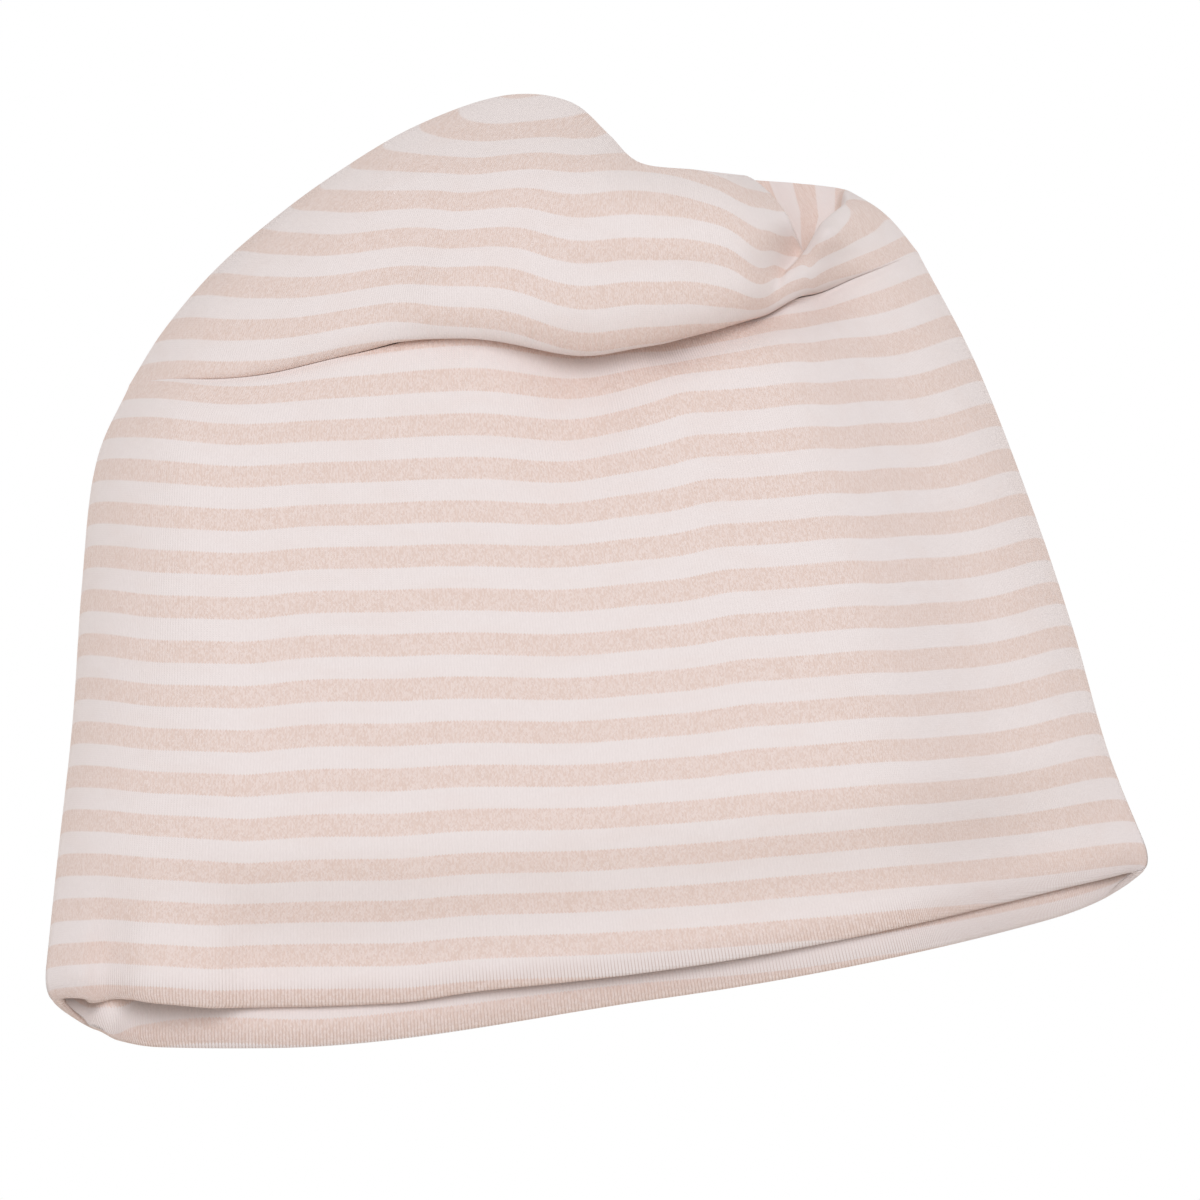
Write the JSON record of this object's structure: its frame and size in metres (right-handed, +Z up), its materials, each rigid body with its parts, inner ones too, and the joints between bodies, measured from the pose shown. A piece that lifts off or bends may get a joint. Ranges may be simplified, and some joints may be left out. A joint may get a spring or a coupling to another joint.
{
  "type": "nightcap",
  "caption": "Soft knitted nightcap of doubled striped jersey, lying flat on its back: a wide side band open at the hem and a loose crown that droops over the seam",
  "frame": {"origin": "centre of the bounding box on the floor that the cap lies on", "axes": "+X across the cap from its left side fold to its right one, +Y from the hem to the top of the crown, +Z up from the floor"},
  "size_m": [0.249, 0.2217, 0.0463],
  "materials": {
    "striped_jersey": "soft matt cotton interlock, off-white with heathered beige stripes"
  },
  "bodies": {
    "root": {"side_band": "striped_jersey", "crown": "striped_jersey"}
  },
  "joints": []
}
